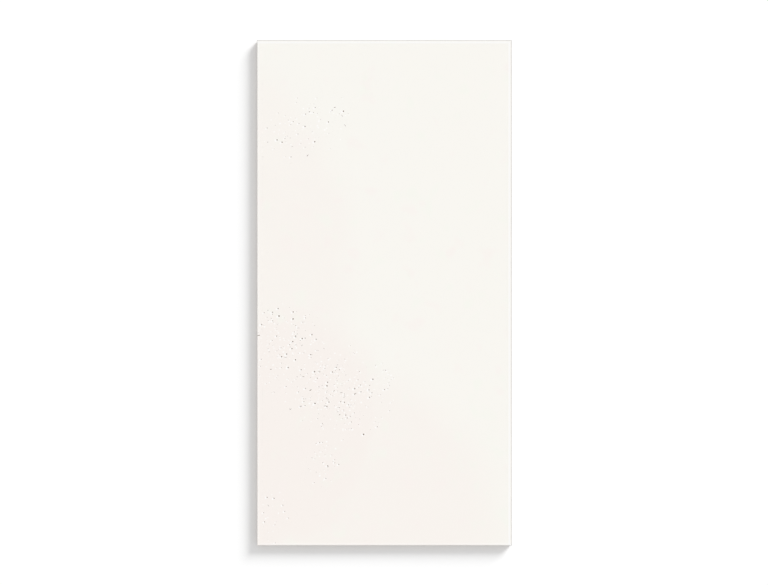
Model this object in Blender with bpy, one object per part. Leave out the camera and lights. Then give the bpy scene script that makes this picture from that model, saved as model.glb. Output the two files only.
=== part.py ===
# Ceramic wall tile, pressed and fired in one piece, lying on its back with the glazed face up.
# The origin is the middle of the back: +X runs across the width and +Y along the length.

import math

import bmesh
import bpy
from mathutils import Matrix

# The pressed body, in metres
TILE_WIDTH = 0.305
TILE_LENGTH = 0.605
TILE_THICKNESS = 0.009

# The eased edge round the face, which also rounds the four corners, and the edge of the back
ARRIS_RADIUS = 0.0007
ARRIS_SEGMENTS = 4
BACK_CHAMFER = 0.0013

# The keyed back: shallow pockets with sloping walls, which the adhesive grips
RIM_WIDTH = 0.008
POCKET_PITCH = 0.029
RIB_WIDTH = 0.0032
POCKET_DEPTH = 0.0008
POCKET_WALL_SLOPE = math.radians(35)
POCKET_CORNER = 0.004
POCKET_CORNER_SEGMENTS = 2

# Finish of the glaze and of the bare fired clay
GLAZE_COLOUR = (0.945, 0.913, 0.871, 1.0)
GLAZE_ROUGHNESS = 0.35
CLAY_COLOUR = (0.72, 0.60, 0.49, 1.0)
CLAY_ROUGHNESS = 0.9

SMOOTH_ANGLE = math.radians(30)
WELD_DISTANCE = 0.000001


def plate(mesh, width, length):
    # One flat rectangle in the plane of the back, facing down
    size = Matrix.Diagonal((width, length, 1.0, 1.0))
    corners = bmesh.ops.create_grid(mesh, x_segments=1, y_segments=1, size=0.5, matrix=size)["verts"]
    face = corners[0].link_faces[0]
    bmesh.ops.reverse_faces(mesh, faces=[face])
    return face


def pocket_cell(cell_width, cell_length):
    # One pocket with its half of the ribs around it, centred on the origin
    mesh = bmesh.new()
    outline = plate(mesh, cell_width, cell_length)
    outline_edges = list(outline.edges)
    bmesh.ops.delete(mesh, geom=[outline], context="FACES_ONLY")

    mouth = plate(mesh, cell_width - RIB_WIDTH, cell_length - RIB_WIDTH)
    bmesh.ops.bevel(mesh, geom=list(mouth.verts), offset=POCKET_CORNER, offset_type="OFFSET",
                    segments=POCKET_CORNER_SEGMENTS, profile=0.5, affect="VERTICES", material=-1)
    pocket = mesh.faces[:][0]
    bmesh.ops.triangle_fill(mesh, edges=outline_edges + list(pocket.edges), use_beauty=True)

    # The floor is pressed in, a little smaller than the mouth, so that the die comes free
    slope_run = POCKET_DEPTH * math.tan(POCKET_WALL_SLOPE)
    bmesh.ops.inset_individual(mesh, faces=[pocket], thickness=slope_run, depth=-POCKET_DEPTH,
                               use_even_offset=True)
    cell = bpy.data.meshes.new("pocket_cell")
    mesh.to_mesh(cell)
    mesh.free()
    return cell


def add_keyed_field(mesh):
    # Rows and columns of pockets, as many as fit inside the plain rim
    field_width = TILE_WIDTH - 2 * RIM_WIDTH
    field_length = TILE_LENGTH - 2 * RIM_WIDTH
    columns = round(field_width / POCKET_PITCH)
    rows = round(field_length / POCKET_PITCH)
    cell_width = field_width / columns
    cell_length = field_length / rows
    cell = pocket_cell(cell_width, cell_length)
    for column in range(columns):
        for row in range(rows):
            across = (column + 0.5) * cell_width - field_width / 2
            along = (row + 0.5) * cell_length - field_length / 2
            placed = cell.copy()
            placed.transform(Matrix.Translation((across, along, 0)))
            mesh.from_mesh(placed)
            bpy.data.meshes.remove(placed)
    bpy.data.meshes.remove(cell)
    bmesh.ops.remove_doubles(mesh, verts=mesh.verts[:], dist=WELD_DISTANCE)


def add_body(mesh):
    # The block with its edges eased, open underneath, where the keyed back closes it
    block = Matrix.Translation((0, 0, TILE_THICKNESS / 2))
    block = block @ Matrix.Diagonal((TILE_WIDTH, TILE_LENGTH, TILE_THICKNESS, 1.0))
    bmesh.ops.create_cube(mesh, size=1.0, matrix=block)

    middle = TILE_THICKNESS / 2
    back_edges = [edge for edge in mesh.edges if all(vert.co.z < middle for vert in edge.verts)]
    bmesh.ops.bevel(mesh, geom=back_edges, offset=BACK_CHAMFER, offset_type="OFFSET",
                    segments=1, profile=0.5, affect="EDGES", material=-1)

    face_edges = [edge for edge in mesh.edges if all(vert.co.z > middle for vert in edge.verts)]
    corner_edges = [edge for edge in mesh.edges
                    if abs(edge.verts[0].co.z - edge.verts[1].co.z) > WELD_DISTANCE]
    bmesh.ops.bevel(mesh, geom=face_edges + corner_edges, offset=ARRIS_RADIUS, offset_type="OFFSET",
                    segments=ARRIS_SEGMENTS, profile=0.5, affect="EDGES", material=-1)

    underside = [face for face in mesh.faces
                 if all(vert.co.z < WELD_DISTANCE for vert in face.verts)]
    bmesh.ops.delete(mesh, geom=underside, context="FACES_ONLY")


def wall_tile_mesh():
    mesh = bmesh.new()
    add_body(mesh)
    add_keyed_field(mesh)

    # The plain rim joins the pockets to the edge of the back
    open_edges = [edge for edge in mesh.edges if edge.is_boundary]
    bmesh.ops.triangle_fill(mesh, edges=open_edges, use_beauty=True)
    bmesh.ops.recalc_face_normals(mesh, faces=mesh.faces[:])

    tile = bpy.data.meshes.new("wall_tile")
    mesh.to_mesh(tile)
    mesh.free()
    return tile


def material(name, colour, roughness):
    finish = bpy.data.materials.new(name)
    finish.use_nodes = True
    shader = finish.node_tree.nodes["Principled BSDF"]
    shader.inputs["Base Color"].default_value = colour
    shader.inputs["Roughness"].default_value = roughness
    shader.inputs["Metallic"].default_value = 0.0
    return finish


def build_wall_tile():
    tile = bpy.data.objects.new("wall_tile", wall_tile_mesh())
    bpy.context.scene.collection.objects.link(tile)
    tile.data.materials.append(material("glaze", GLAZE_COLOUR, GLAZE_ROUGHNESS))
    tile.data.materials.append(material("fired_clay", CLAY_COLOUR, CLAY_ROUGHNESS))

    # Glaze covers the face and its eased edge, and the sides and back are bare clay
    glaze_line = TILE_THICKNESS - ARRIS_RADIUS
    for face in tile.data.polygons:
        face.material_index = 0 if face.center.z > glaze_line else 1
    tile.data.shade_smooth()
    tile.data.set_sharp_from_angle(angle=SMOOTH_ANGLE)


for leftover in list(bpy.data.objects):
    bpy.data.objects.remove(leftover, do_unlink=True)
build_wall_tile()
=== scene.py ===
# A pressed and glazed ceramic wall tile, lying face up on a plain pale floor

import math

import bmesh
import bpy
from mathutils import Matrix, Vector, noise


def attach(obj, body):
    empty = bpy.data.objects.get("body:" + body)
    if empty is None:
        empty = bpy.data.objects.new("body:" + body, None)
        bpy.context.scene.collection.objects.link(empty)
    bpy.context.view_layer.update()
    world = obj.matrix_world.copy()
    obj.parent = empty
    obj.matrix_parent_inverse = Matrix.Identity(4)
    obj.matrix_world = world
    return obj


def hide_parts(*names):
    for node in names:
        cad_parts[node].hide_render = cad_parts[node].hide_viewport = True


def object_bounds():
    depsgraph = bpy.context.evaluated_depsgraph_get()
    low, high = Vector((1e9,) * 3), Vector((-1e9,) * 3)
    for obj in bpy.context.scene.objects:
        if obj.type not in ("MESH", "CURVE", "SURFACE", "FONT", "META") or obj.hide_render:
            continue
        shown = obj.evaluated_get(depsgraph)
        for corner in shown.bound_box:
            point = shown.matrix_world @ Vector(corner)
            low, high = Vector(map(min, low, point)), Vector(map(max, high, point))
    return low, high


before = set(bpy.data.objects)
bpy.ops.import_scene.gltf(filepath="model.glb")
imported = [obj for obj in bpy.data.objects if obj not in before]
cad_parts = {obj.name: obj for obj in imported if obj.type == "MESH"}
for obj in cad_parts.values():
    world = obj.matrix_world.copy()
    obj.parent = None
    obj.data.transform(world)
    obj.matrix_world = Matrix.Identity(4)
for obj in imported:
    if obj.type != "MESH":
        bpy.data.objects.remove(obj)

cadLow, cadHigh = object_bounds()
mm = 0.001

print("frame loaded, tile box in mm:", [round(side / mm, 2) for side in cadHigh - cadLow])


# node helpers that the materials share

nodesPerRow = 12
nodeStep = (260, -340)  # how far apart the nodes lie in the editor
cloudSpan = (0.3, 0.7)  # nearly all of a cloud's values lie between these


def addNode(tree, kind, inputs=None, **settings):
    # a value goes into the socket, and another node's output is linked to it
    made = tree.nodes.new("ShaderNode" + kind)
    row, column = divmod(len(tree.nodes), nodesPerRow)
    made.location = (nodeStep[0] * column, nodeStep[1] * row)
    for name, value in settings.items():
        setattr(made, name, value)
    for name, value in (inputs or {}).items():
        if isinstance(value, bpy.types.NodeSocket):
            tree.links.new(value, made.inputs[name])
        else:
            made.inputs[name].default_value = value
    return made


def maths(tree, operation, first, second=0.0, third=0.0, clamp=False):
    made = addNode(tree, "Math", {0: first, 1: second, 2: third}, operation=operation, use_clamp=clamp)
    return made.outputs[0]


def mixColour(tree, amount, first, second):
    # the node's sockets for numbers and colours share their names, so the colours go by number
    made = addNode(tree, "Mix", {0: amount, 6: first, 7: second}, data_type="RGBA")
    return made.outputs[2]


def fade(tree, value, start, end, low=0.0, high=1.0):
    # from low at the start to high at the end, with soft shoulders
    made = addNode(tree, "MapRange", {"Value": value, "From Min": start, "From Max": end,
                                      "To Min": low, "To Max": high}, interpolation_type="SMOOTHSTEP")
    return made.outputs["Result"]


def cloud(tree, place, size, detail=2.0, roughness=0.5):
    # soft noise whose lumps are about this size in metres, from 0 to 1
    made = addNode(tree, "TexNoise", {"Vector": place, "Scale": 1 / size, "Detail": detail,
                                      "Roughness": roughness})
    return made.outputs[0]


def shifted(tree, place, offset):
    made = addNode(tree, "VectorMath", {0: place, 1: offset}, operation="ADD")
    return made.outputs[0]


def strayed(tree, place, size, reach):
    # the place, moved about by up to half the reach
    lumps = addNode(tree, "TexNoise", {"Vector": place, "Scale": 1 / size, "Detail": 1.0})
    centred = shifted(tree, lumps.outputs["Color"], (-0.5, -0.5, -0.5))
    moved = addNode(tree, "VectorMath", {0: centred, 1: (reach,) * 3, 2: place}, operation="MULTIPLY_ADD")
    return moved.outputs[0]


def fields(tree, place, patches, softness):
    # soft-edged ellipses, each up to its own amount; the strongest one counts
    total = 0.0
    for middle, reach, turn, amount in patches:
        local = addNode(tree, "Mapping", {"Vector": place, "Location": (*middle, 0),
                                          "Rotation": (0, 0, math.radians(turn)), "Scale": (*reach, 1)},
                        vector_type="TEXTURE")
        ball = addNode(tree, "TexGradient", {"Vector": local.outputs[0]}, gradient_type="SPHERICAL")
        soft = fade(tree, ball.outputs[1], *softness, 0.0, amount)
        total = maths(tree, "MAXIMUM", soft, total)
    return total


# the tile's shape

tile = {
    "arrisRadius": 0.7 * mm,
    "arrisSteps": 8,
    "backChamfer": 1.3 * mm,
    "rimWidth": 8 * mm,
    "pocketPitch": 29 * mm,
    "ribWidth": 3.2 * mm,
    "pocketCorner": 4 * mm,
    "cornerSteps": 3,
    # run and drop of the rounded mouth, the sloping wall and the fillet to the floor
    "pocketWall": ((0.16 * mm, 0.10 * mm), (0.24 * mm, 0.52 * mm), (0.28 * mm, 0.18 * mm)),
    "glazeRoll": ((1.2 * mm, 0), (2.6 * mm, -0.03 * mm)),  # the glaze stands a little proud along the edge
    "wave": 0.018 * mm,  # the fired face is never quite flat
    "waveLength": 95 * mm,
    "cutsPerPocket": 2,
    "orderAlong": Vector((1.0, 0.618, 0.382)),  # slanted, so that hardly any two parts lie level along it
    "cutReach": 0.0001 * mm,  # points this close to a cut lie on it
    "weld": 0.001 * mm,  # points closer than this are one
    "sharpAngle": 35,  # in degrees; edges that turn by more than this stay crisp
}
tileWidth, tileLength, tileThickness = cadHigh - cadLow
fieldWidth = tileWidth - 2 * tile["rimWidth"]
fieldLength = tileLength - 2 * tile["rimWidth"]
columns = round(fieldWidth / tile["pocketPitch"])
rows = round(fieldLength / tile["pocketPitch"])
cellWidth = fieldWidth / columns
cellLength = fieldLength / rows


def rectangle(mesh, width, length):
    # a face that looks down, in the plane of the back
    size = Matrix.Diagonal((width, length, 1, 1))
    corners = bmesh.ops.create_grid(mesh, x_segments=1, y_segments=1, size=0.5, matrix=size)["verts"]
    face = corners[0].link_faces[0]
    bmesh.ops.reverse_faces(mesh, faces=[face])
    return face


def pocketCell():
    # one pocket with its half of the ribs around it
    mesh = bmesh.new()
    outline = rectangle(mesh, cellWidth, cellLength)
    outlineEdges = list(outline.edges)
    bmesh.ops.delete(mesh, geom=[outline], context="FACES_ONLY")
    mouth = rectangle(mesh, cellWidth - tile["ribWidth"], cellLength - tile["ribWidth"])
    bmesh.ops.bevel(mesh, geom=list(mouth.verts), offset=tile["pocketCorner"], offset_type="OFFSET",
                    segments=tile["cornerSteps"], profile=0.5, affect="VERTICES", material=-1)
    pocket = mesh.faces[:][0]
    bmesh.ops.triangle_fill(mesh, edges=outlineEdges + list(pocket.edges), use_beauty=True)
    for run, drop in tile["pocketWall"]:
        bmesh.ops.inset_individual(mesh, faces=[pocket], thickness=run, depth=-drop, use_even_offset=True)
    cell = bpy.data.meshes.new("pocketCell")
    mesh.to_mesh(cell)
    mesh.free()
    return cell


def addPockets(mesh):
    cell = pocketCell()
    for column in range(columns):
        for row in range(rows):
            across = (column + 0.5) * cellWidth - fieldWidth / 2
            along = (row + 0.5) * cellLength - fieldLength / 2
            placed = cell.copy()
            placed.transform(Matrix.Translation((across, along, 0)))
            mesh.from_mesh(placed)
            bpy.data.meshes.remove(placed)
    bpy.data.meshes.remove(cell)
    bmesh.ops.remove_doubles(mesh, verts=mesh.verts[:], dist=tile["weld"])


def addBody(mesh):
    # the pressed block with its edges eased, left open underneath for the pockets
    block = Matrix.Translation((0, 0, tileThickness / 2)) @ Matrix.Diagonal((*(cadHigh - cadLow), 1))
    bmesh.ops.create_cube(mesh, size=1, matrix=block)
    middle = tileThickness / 2
    backEdges = [edge for edge in mesh.edges if all(vert.co.z < middle for vert in edge.verts)]
    bmesh.ops.bevel(mesh, geom=backEdges, offset=tile["backChamfer"], offset_type="OFFSET",
                    segments=1, profile=0.5, affect="EDGES", material=-1)
    eased = [edge for edge in mesh.edges if max(vert.co.z for vert in edge.verts) > middle]
    bmesh.ops.bevel(mesh, geom=eased, offset=tile["arrisRadius"], offset_type="OFFSET",
                    segments=tile["arrisSteps"], profile=0.5, affect="EDGES", material=-1)

    # the roll of glaze inside the eased edge, and the flat face within it
    face = max(mesh.faces, key=lambda candidate: candidate.calc_center_median().z)
    for width, rise in tile["glazeRoll"]:
        bmesh.ops.inset_individual(mesh, faces=[face], thickness=width, depth=rise, use_even_offset=True)
    underside = [low for low in mesh.faces if low.calc_center_median().z < tile["weld"]]
    bmesh.ops.delete(mesh, geom=underside, context="FACES_ONLY")

    # cuts on the lines of the pockets, so that the face can carry its faint wave
    cuts = [(Vector((1, 0, 0)), cellWidth, columns), (Vector((0, 1, 0)), cellLength, rows)]
    for across, step, count in cuts:
        for line in range(count * tile["cutsPerPocket"] + 1):
            place = across * (line * step / tile["cutsPerPocket"] - step * count / 2)
            bmesh.ops.bisect_plane(mesh, geom=mesh.verts[:] + mesh.edges[:] + mesh.faces[:],
                                   dist=tile["cutReach"], plane_co=place, plane_no=across)

    flat = tileThickness + sum(rise for width, rise in tile["glazeRoll"])
    for vert in mesh.verts:
        if abs(vert.co.z - flat) < tile["weld"]:
            vert.co.z += tile["wave"] * noise.noise(vert.co / tile["waveLength"])


# the tile laid out flat for a baked map, each side by itself: the axes that run across and up the map,
# the side's scale for each metre, and where its middle lies
layout = {
    "face": (0, 1, 1.628, (0.2563, 0.5)),
    "back": (0, 1, 1.440, (0.7322, 0.4431)),
    "left": (2, 1, 1.600, (0.9670, 0.5)),
    "right": (2, 1, 1.600, (0.9874, 0.5)),
    "bottom": (0, 2, 1.440, (0.7322, 0.8939)),
    "top": (0, 2, 1.440, (0.7322, 0.9163)),
}
faceRise = 0.7  # a normal that rises more than this is the face's
backRise = -0.1  # and one that rises less than this is the back's


def sideOf(normal):
    if normal.z < backRise:
        return "back"
    if normal.z > faceRise:
        return "face"
    if abs(normal.x) > abs(normal.y):
        return "right" if normal.x > 0 else "left"
    return "top" if normal.y > 0 else "bottom"


def layFlat(made):
    flat = made.uv_layers.new(name="OFBake").data
    middle = (cadLow + cadHigh) / 2
    for face in made.polygons:
        across, up, scale, home = layout[sideOf(face.normal)]
        for corner in face.loop_indices:
            place = made.vertices[made.loops[corner].vertex_index].co - middle
            flat[corner].uv = (home[0] + scale * place[across], home[1] + scale * place[up])


def putInOrder(mesh):
    # the operators leave some corners and faces in an order that changes from run to run
    mesh.verts.sort(key=lambda vert: vert.co.dot(tile["orderAlong"]))
    mesh.edges.sort(key=lambda edge: (edge.verts[0].co + edge.verts[1].co).dot(tile["orderAlong"]))
    mesh.faces.sort(key=lambda face: face.calc_center_median().dot(tile["orderAlong"]))


def buildTile():
    mesh = bmesh.new()
    addBody(mesh)
    addPockets(mesh)
    rim = [edge for edge in mesh.edges if edge.is_boundary]
    bmesh.ops.triangle_fill(mesh, edges=rim, use_beauty=True)
    bmesh.ops.recalc_face_normals(mesh, faces=mesh.faces[:])
    putInOrder(mesh)
    made = bpy.data.meshes.new("wallTile")
    mesh.to_mesh(made)
    mesh.free()
    piece = bpy.data.objects.new("wallTile", made)
    bpy.context.scene.collection.objects.link(piece)
    made.shade_smooth()
    made.set_sharp_from_angle(angle=math.radians(tile["sharpAngle"]))
    layFlat(made)
    evenly = piece.modifiers.new("flatFacesStayFlat", "WEIGHTED_NORMAL")
    evenly.keep_sharp = True
    return piece


wallTile = buildTile()
print("tile built:", len(wallTile.data.polygons), "faces,", columns, "by", rows, "pockets on its back")


# the glaze

glaze = {
    "coolWhite": (0.941, 0.923, 0.874, 1),
    "warmWhite": (0.935, 0.878, 0.838, 1),
    # fields of the warmer tone: middle, reach across and along, turn, amount
    "warmFields": (
        ((-140 * mm, -165 * mm), (165 * mm, 190 * mm), -15, 0.95),
        ((-70 * mm, -280 * mm), (250 * mm, 235 * mm), 0, 0.62),
        ((-175 * mm, 45 * mm), (165 * mm, 268 * mm), 0, 0.50),
    ),
    "fieldEdge": (0.06, 0.34),  # how softly a field ends, as shares of its reach
    "fieldWander": 46 * mm,
    "cloudSize": 62 * mm,
    "cloudAmount": 0.32,
    # faint blotches, a blush and a trace of green: tint, where the noise is read, amount
    "blotches": (
        ((0.945, 0.880, 0.850, 1), (3.1, 0.7, 0), 0.45),
        ((0.903, 0.930, 0.850, 1), (1.3, 5.2, 0), 0.35),
    ),
    "blotchSize": 24 * mm,
    "blotchEdge": (0.60, 0.78),
    "roughness": (0.33, 0.43),
    "sheenSize": 24 * mm,
    "ior": 1.5,
    "peelSize": 7 * mm,
    "peelHeight": 0.006 * mm,
    "grainSize": 0.9 * mm,
    "grainHeight": 0.0009 * mm,
    "lowerEdge": 7.95 * mm,  # the glaze ends about here on the sides
    "lowerEdgeWander": 0.9 * mm,
    "lowerEdgeSize": 9 * mm,
    "lowerEdgeSoftness": 0.12 * mm,
}


def glazeGround(tree, place):
    # cool white with fields of the warmer tone, and blotches over both
    drifted = strayed(tree, place, glaze["cloudSize"], glaze["fieldWander"])
    warmth = fields(tree, drifted, glaze["warmFields"], glaze["fieldEdge"])
    clouds = maths(tree, "SUBTRACT", cloud(tree, place, glaze["cloudSize"], detail=3.0), 0.5)
    warmth = maths(tree, "MULTIPLY_ADD", clouds, glaze["cloudAmount"], warmth, clamp=True)
    colour = mixColour(tree, warmth, glaze["coolWhite"], glaze["warmWhite"])
    for tint, offset, amount in glaze["blotches"]:
        blotch = cloud(tree, shifted(tree, place, offset), glaze["blotchSize"], detail=1.0)
        colour = mixColour(tree, fade(tree, blotch, *glaze["blotchEdge"], 0.0, amount), colour, tint)
    return colour


# the glaze's edge, with painted shade and a painted highlight along it

edge = {
    "line": (0.52, 0.515, 0.505, 1),  # grey line over the eased edge, partly thin glaze and partly painted shade
    "lineWidth": 0.9 * mm,
    "lineFade": (0.75, 1.25),  # the line fades out between these shares of its width
    "paintedHighlight": (0.975, 0.972, 0.965, 1),  # painted highlight: a paler band just inside that line
    "highlightReach": 2.0 * mm,
    # how strong the line and the painted highlight are, and how far in the highlight lies; both are strong
    # on the sun-facing right and top
    "rightAndTop": (0.95, 0.80, 3.0 * mm),
    "leftAndBottom": (0.05, 0.30, 1.7 * mm),
}


def edgeLineAndPaintedLight(tree, place, colour):
    # a thin grey line over the tile's edge, partly thin glaze and partly painted shade, and a paler
    # painted highlight inside it, both strongest on the sun-facing right and top
    sides = addNode(tree, "SeparateXYZ", {"Vector": place})
    across, along = sides.outputs[0], sides.outputs[1]
    toRight = maths(tree, "SUBTRACT", tileWidth / 2, across)
    toTop = maths(tree, "SUBTRACT", tileLength / 2, along)
    toLeft = maths(tree, "ADD", tileWidth / 2, across)
    toBottom = maths(tree, "ADD", tileLength / 2, along)
    lineStart, lineEnd = (share * edge["lineWidth"] for share in edge["lineFade"])
    for first, second, strengths in ((toLeft, toBottom, edge["leftAndBottom"]),
                                     (toRight, toTop, edge["rightAndTop"])):
        lineAmount, highlightAmount, highlightMiddle = strengths
        distance = maths(tree, "MINIMUM", first, second)
        # painted highlight: a paler band at its own distance in from each edge, strongest on the
        # sun-facing right and top
        fromHighlight = maths(tree, "ABSOLUTE", maths(tree, "SUBTRACT", distance, highlightMiddle))
        paintedHighlight = fade(tree, fromHighlight, 0.0, edge["highlightReach"], highlightAmount, 0.0)
        colour = mixColour(tree, paintedHighlight, colour, edge["paintedHighlight"])
        # grey line over the eased edge, partly thin glaze and partly painted shade, strong only on the
        # sun-facing right and top
        line = fade(tree, distance, lineStart, lineEnd, lineAmount, 0.0)
        colour = mixColour(tree, line, colour, edge["line"])
    return colour


# the printed speckle

speckle = {
    # where it gathers: middle, reach across and along, turn, share of the cells that hold a grain
    "patches": (
        ((-94 * mm, 194 * mm), (70 * mm, 44 * mm), 22, 0.14),
        ((-124 * mm, -64 * mm), (66 * mm, 66 * mm), -30, 0.235),
        ((-63 * mm, -116 * mm), (80 * mm, 64 * mm), -35, 0.325),
        ((-2 * mm, -112 * mm), (20 * mm, 42 * mm), 0, 0.24),
        ((-74 * mm, -200 * mm), (22 * mm, 38 * mm), 0, 0.27),
        ((-136 * mm, -262 * mm), (24 * mm, 42 * mm), 0, 0.18),
    ),
    "patchEdge": (0.0, 0.75),
    "dark": (0.15, 0.09, 0.05, 1),
    "pale": (0.995, 0.982, 0.962, 1),
    "wander": 1.0 * mm,  # how far a grain's outline strays
    "wanderSize": 0.9 * mm,
    "sizeShuffle": (31.0, 17.0),  # other numbers here give other sizes and strengths
    "powerShuffle": (47.0, 23.0),
    "smallBias": 2.0,  # above 1, most grains are small
    "faintest": 0.4,  # the faintest grain of a kind, as a share of its strength
    "grainEdge": (0.65, 1.3),  # a grain fades out between these shares of its radius
    "rimEdge": (1.1, 2.4),  # and the pale rim round it between these
    "rimAmount": 0.25,
    "paleStrength": 1.7,
}
# each kind of grain: spacing, smallest and largest radius, stretch, turn, strength, share of the density
darkGrains = {
    "dots": (4.2 * mm, 0.28 * mm, 0.98 * mm, 1.0, 0, 1.0, 1.0),
    "smallDots": (2.7 * mm, 0.14 * mm, 0.47 * mm, 1.3, 50, 0.95, 0.35),
    "flatDashes": (4.6 * mm, 0.23 * mm, 0.45 * mm, 4.2, 6, 0.9, 0.45),
    "risingDashes": (4.9 * mm, 0.22 * mm, 0.45 * mm, 3.6, 38, 0.9, 0.40),
    "fallingDashes": (5.2 * mm, 0.22 * mm, 0.44 * mm, 4.0, -58, 0.9, 0.45),
    "dust": (1.5 * mm, 0.08 * mm, 0.20 * mm, 1.0, 20, 0.5, 0.5),
}
paleFlecks = (3.4 * mm, 0.50 * mm, 0.95 * mm, 1.2, 25, 1.0, 0.6)
# pale flecks beside the dark grains: how far they are moved, and their kind, with the dark grains' spacing
paleBeside = (
    ((1.7 * mm, 0.9 * mm), (4.2 * mm, 0.60 * mm, 1.50 * mm, 1.0, 0, 1.0, 1.0)),
    ((-0.9 * mm, 1.5 * mm), (2.7 * mm, 0.45 * mm, 0.90 * mm, 1.3, 50, 1.0, 0.25)),
)


def shuffled(tree, first, second, factors):
    # two random numbers made into a new one, as even as they are
    mixed = maths(tree, "MULTIPLY_ADD", first, factors[0], maths(tree, "MULTIPLY", second, factors[1]))
    return maths(tree, "FRACT", mixed)


def draws(tree, cells):
    # three even random numbers for each cell; its red and green also place the grain, so blue picks
    colour = addNode(tree, "SeparateColor", {"Color": cells.outputs["Color"]})
    red, green, blue = colour.outputs[0], colour.outputs[1], colour.outputs[2]
    size = shuffled(tree, red, green, speckle["sizeShuffle"])
    power = shuffled(tree, green, red, speckle["powerShuffle"])
    return blue, size, power


def grainLayer(tree, place, density, kind):
    # a grain in some of the cells: how far off it is, in its own radii, if it is kept, and how strong
    spacing, smallest, largest, stretch, turn, strength, share = kind
    local = addNode(tree, "Mapping", {"Vector": place, "Rotation": (0, 0, math.radians(turn)),
                                      "Scale": (stretch * spacing, spacing, 1)}, vector_type="TEXTURE")
    cells = addNode(tree, "TexVoronoi", {"Vector": local.outputs[0], "Scale": 1}, voronoi_dimensions="2D")
    pick, size, power = draws(tree, cells)
    kept = maths(tree, "LESS_THAN", pick, maths(tree, "MULTIPLY", density, share))
    size = maths(tree, "POWER", size, speckle["smallBias"])
    radius = maths(tree, "MULTIPLY_ADD", size, (largest - smallest) / spacing, smallest / spacing)
    distance = maths(tree, "DIVIDE", cells.outputs["Distance"], radius)
    faintest = speckle["faintest"] * strength
    depth = maths(tree, "MULTIPLY_ADD", power, strength - faintest, faintest)
    return distance, kept, depth


def grainBody(tree, distance, kept, depth):
    body = maths(tree, "MULTIPLY", fade(tree, distance, *speckle["grainEdge"], 1.0, 0.0), depth)
    return maths(tree, "MULTIPLY", body, kept)


def grainRim(tree, distance, kept):
    return maths(tree, "MULTIPLY", fade(tree, distance, *speckle["rimEdge"], 1.0, 0.0), kept)


def printedSpeckle(tree, place, colour):
    # dark grains with pale rims, and pale flecks among and beside them
    grainPlace = strayed(tree, place, speckle["wanderSize"], speckle["wander"])
    density = fields(tree, place, speckle["patches"], speckle["patchEdge"])
    darkness, rims = 0.0, 0.0
    for kind in darkGrains.values():
        distance, kept, depth = grainLayer(tree, grainPlace, density, kind)
        darkness = maths(tree, "MAXIMUM", grainBody(tree, distance, kept, depth), darkness)
        rims = maths(tree, "MAXIMUM", grainRim(tree, distance, kept), rims)
    flecks = grainBody(tree, *grainLayer(tree, grainPlace, density, paleFlecks))
    pale = maths(tree, "MAXIMUM", flecks, maths(tree, "MULTIPLY", rims, speckle["rimAmount"]))
    for beside, kind in paleBeside:
        moved = shifted(tree, grainPlace, (*beside, 0))
        fleck = grainBody(tree, *grainLayer(tree, moved, density, kind))
        pale = maths(tree, "MAXIMUM", fleck, pale)
    pale = maths(tree, "MULTIPLY", pale, speckle["paleStrength"], clamp=True)
    colour = mixColour(tree, pale, colour, speckle["pale"])
    return mixColour(tree, darkness, colour, speckle["dark"])


def glazeColour(tree, place):
    # the ground, the edge and the speckle, one over the other
    colour = edgeLineAndPaintedLight(tree, place, glazeGround(tree, place))
    return printedSpeckle(tree, place, colour)


# the bare fired clay of the sides and the back

clay = {
    "biscuit": (0.52, 0.435, 0.36, 1),
    "paleBiscuit": (0.62, 0.54, 0.46, 1),
    "bandSize": 38 * mm,
    "granuleSize": 0.8 * mm,
    "granuleEdge": (0.35, 0.75),
    "granuleAmount": 0.35,
    "granuleHeight": 0.11 * mm,
    "iron": (0.22, 0.15, 0.11, 1),
    "spotSpacing": 3.2 * mm,
    "spotEdge": (0.05, 0.16),  # a spot fades out between these shares of the spacing
    "spotAmount": 0.75,
    "spotShare": 0.35,  # of the cells hold a spot
    "kilnWash": (0.78, 0.76, 0.72, 1),
    "washHeight": 0.25 * mm,  # the ribs and the rim that stood on the kiln's rollers
    "dustSize": 14 * mm,
    "dustEdge": (0.38, 0.62),
    "dustAmount": (0.15, 0.85),
    "roughness": (0.84, 0.96),
}


def clayColour(tree, place, granules):
    bands = cloud(tree, place, clay["bandSize"], detail=4.0, roughness=0.6)
    colour = mixColour(tree, fade(tree, bands, *cloudSpan), clay["biscuit"], clay["paleBiscuit"])
    grit = fade(tree, granules, *clay["granuleEdge"], 0.0, clay["granuleAmount"])
    colour = mixColour(tree, grit, colour, clay["paleBiscuit"])

    # an iron spot in some of the cells
    cells = addNode(tree, "TexVoronoi", {"Vector": place, "Scale": 1 / clay["spotSpacing"]})
    pick = addNode(tree, "SeparateColor", {"Color": cells.outputs["Color"]}).outputs[0]
    spot = fade(tree, cells.outputs["Distance"], *clay["spotEdge"], clay["spotAmount"], 0.0)
    rust = maths(tree, "MULTIPLY", spot, maths(tree, "LESS_THAN", pick, clay["spotShare"]))
    colour = mixColour(tree, rust, colour, clay["iron"])

    # the kiln's pale wash, rubbed off unevenly on what stands lowest
    height = addNode(tree, "SeparateXYZ", {"Vector": place}).outputs[2]
    dust = cloud(tree, place, clay["dustSize"], detail=5.0, roughness=0.7)
    dusty = fade(tree, dust, *clay["dustEdge"], *clay["dustAmount"])
    wash = maths(tree, "MULTIPLY", fade(tree, height, 0.0, clay["washHeight"], 1.0, 0.0), dusty)
    return mixColour(tree, wash, colour, clay["kilnWash"])


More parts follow.
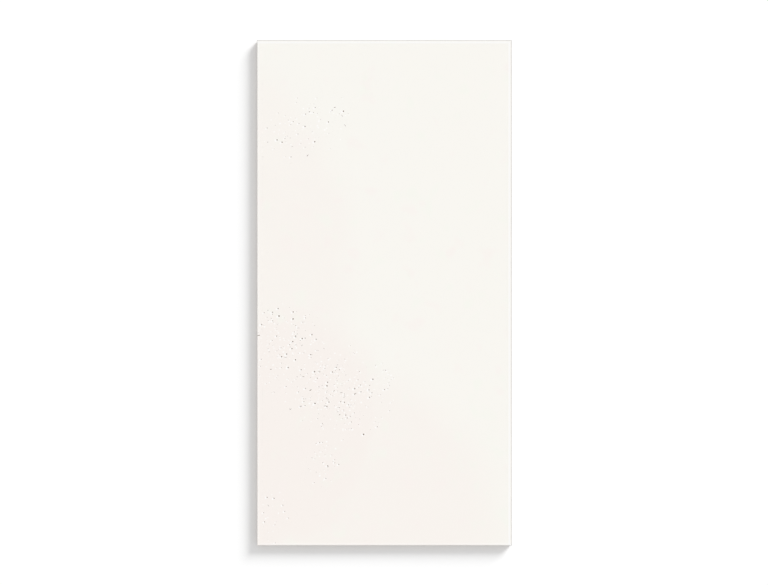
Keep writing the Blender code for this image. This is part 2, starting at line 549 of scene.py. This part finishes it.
def glazedClay():
    # glaze above and clay below, mixed by height in one material
    finish = bpy.data.materials.new("glazedClay")
    finish.use_nodes = True
    tree = finish.node_tree
    shader = tree.nodes["Principled BSDF"]
    place = addNode(tree, "TexCoord").outputs["Object"]

    height = addNode(tree, "SeparateXYZ", {"Vector": place}).outputs[2]
    wander = maths(tree, "SUBTRACT", cloud(tree, place, glaze["lowerEdgeSize"], detail=3.0), 0.5)
    level = maths(tree, "MULTIPLY_ADD", wander, glaze["lowerEdgeWander"], height)
    glazed = fade(tree, level, glaze["lowerEdge"] - glaze["lowerEdgeSoftness"],
                  glaze["lowerEdge"] + glaze["lowerEdgeSoftness"])

    granules = cloud(tree, place, clay["granuleSize"], detail=2.0, roughness=0.6)
    colour = mixColour(tree, glazed, clayColour(tree, place, granules), glazeColour(tree, place))
    tree.links.new(colour, shader.inputs["Base Color"])

    sheen = cloud(tree, place, glaze["sheenSize"], detail=4.0)
    rough = addNode(tree, "Mix", {0: glazed, 2: fade(tree, granules, *cloudSpan, *clay["roughness"]),
                                  3: fade(tree, sheen, *cloudSpan, *glaze["roughness"])})
    tree.links.new(rough.outputs[0], shader.inputs["Roughness"])

    peel = maths(tree, "MULTIPLY", cloud(tree, place, glaze["peelSize"], detail=2.0), glaze["peelHeight"])
    grain = cloud(tree, place, glaze["grainSize"], detail=1.0)
    glazeHeight = maths(tree, "MULTIPLY_ADD", grain, glaze["grainHeight"], peel)
    clayHeight = maths(tree, "MULTIPLY", granules, clay["granuleHeight"])
    relief = addNode(tree, "Mix", {0: glazed, 2: clayHeight, 3: glazeHeight})
    bump = addNode(tree, "Bump", {"Height": relief.outputs[0], "Strength": 1.0, "Distance": 1.0})
    tree.links.new(bump.outputs["Normal"], shader.inputs["Normal"])
    shader.inputs["Metallic"].default_value = 0.0
    shader.inputs["IOR"].default_value = glaze["ior"]
    return finish


wallTile.data.materials.append(glazedClay())
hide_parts("wall_tile")
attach(wallTile, "root")
print("tile finished:", len(wallTile.active_material.node_tree.nodes), "nodes in its material")


# floor, light and camera

studio = {
    "floorSize": 8.0,
    "floorGap": 0.05 * mm,  # keeps the floor clear of the tile's back
    "floorColour": (0.88, 0.88, 0.88, 1),
    "floorLift": 0.16,  # makes the floor white to the camera and lights nothing else
    "skyLight": 0.59,
    "sunStrength": 3.57,
    "sunTowards": (0.625, 0.692, 0.361),
    "sunDistance": 2,
    "sunWidth": 27,
    "lens": 100,
    "cameraPlace": (-0.57 * mm, 0.30 * mm, 2.5617),
}


def seenDirectly(tree):
    # 1 for rays from the camera and from mirrors or glass, 0 for the rays that light surfaces
    rays = addNode(tree, "LightPath").outputs
    direct = maths(tree, "MAXIMUM", rays["Is Camera Ray"], rays["Is Glossy Ray"])
    return maths(tree, "MAXIMUM", direct, rays["Is Transmission Ray"])


def buildFloor():
    mesh = bmesh.new()
    bmesh.ops.create_grid(mesh, x_segments=1, y_segments=1, size=studio["floorSize"] / 2,
                          matrix=Matrix.Translation((0, 0, -studio["floorGap"])))
    made = bpy.data.meshes.new("floor")
    mesh.to_mesh(made)
    mesh.free()
    floor = bpy.data.objects.new("floor", made)
    bpy.context.scene.collection.objects.link(floor)
    finish = bpy.data.materials.new("paleFloor")
    finish.use_nodes = True
    shader = finish.node_tree.nodes["Principled BSDF"]
    shader.inputs["Base Color"].default_value = studio["floorColour"]
    shader.inputs["Roughness"].default_value = 1.0
    shader.inputs["Specular IOR Level"].default_value = 0.0
    shader.inputs["Emission Color"].default_value = (1, 1, 1, 1)
    lift = maths(finish.node_tree, "MULTIPLY", seenDirectly(finish.node_tree), studio["floorLift"])
    finish.node_tree.links.new(lift, shader.inputs["Emission Strength"])
    made.materials.append(finish)


def buildLight():
    # a plain sky that the camera sees as white, and one broad sun
    world = bpy.data.worlds.new("paleSky")
    bpy.context.scene.world = world
    world.use_nodes = True
    tree = world.node_tree
    strength = addNode(tree, "MapRange", {"Value": seenDirectly(tree), "To Min": studio["skyLight"],
                                          "To Max": 1.0})
    tree.nodes["Background"].inputs["Color"].default_value = (1, 1, 1, 1)
    tree.links.new(strength.outputs["Result"], tree.nodes["Background"].inputs["Strength"])
    lamp = bpy.data.lights.new("softSun", "SUN")
    lamp.energy = studio["sunStrength"]
    lamp.angle = math.radians(studio["sunWidth"])
    sun = bpy.data.objects.new("softSun", lamp)
    sun.rotation_euler = Vector(studio["sunTowards"]).to_track_quat("Z", "Y").to_euler()
    sun.location = Vector(studio["sunTowards"]) * studio["sunDistance"]
    bpy.context.scene.collection.objects.link(sun)


def buildCamera():
    # straight above the tile, looking down
    view = bpy.data.cameras.new("fromAbove")
    view.lens = studio["lens"]
    camera = bpy.data.objects.new("fromAbove", view)
    camera.location = studio["cameraPlace"]
    bpy.context.scene.collection.objects.link(camera)
    bpy.context.scene.camera = camera


buildFloor()
buildLight()
buildCamera()
bpy.context.scene.view_settings.view_transform = "Standard"
print("floor, light and camera placed")
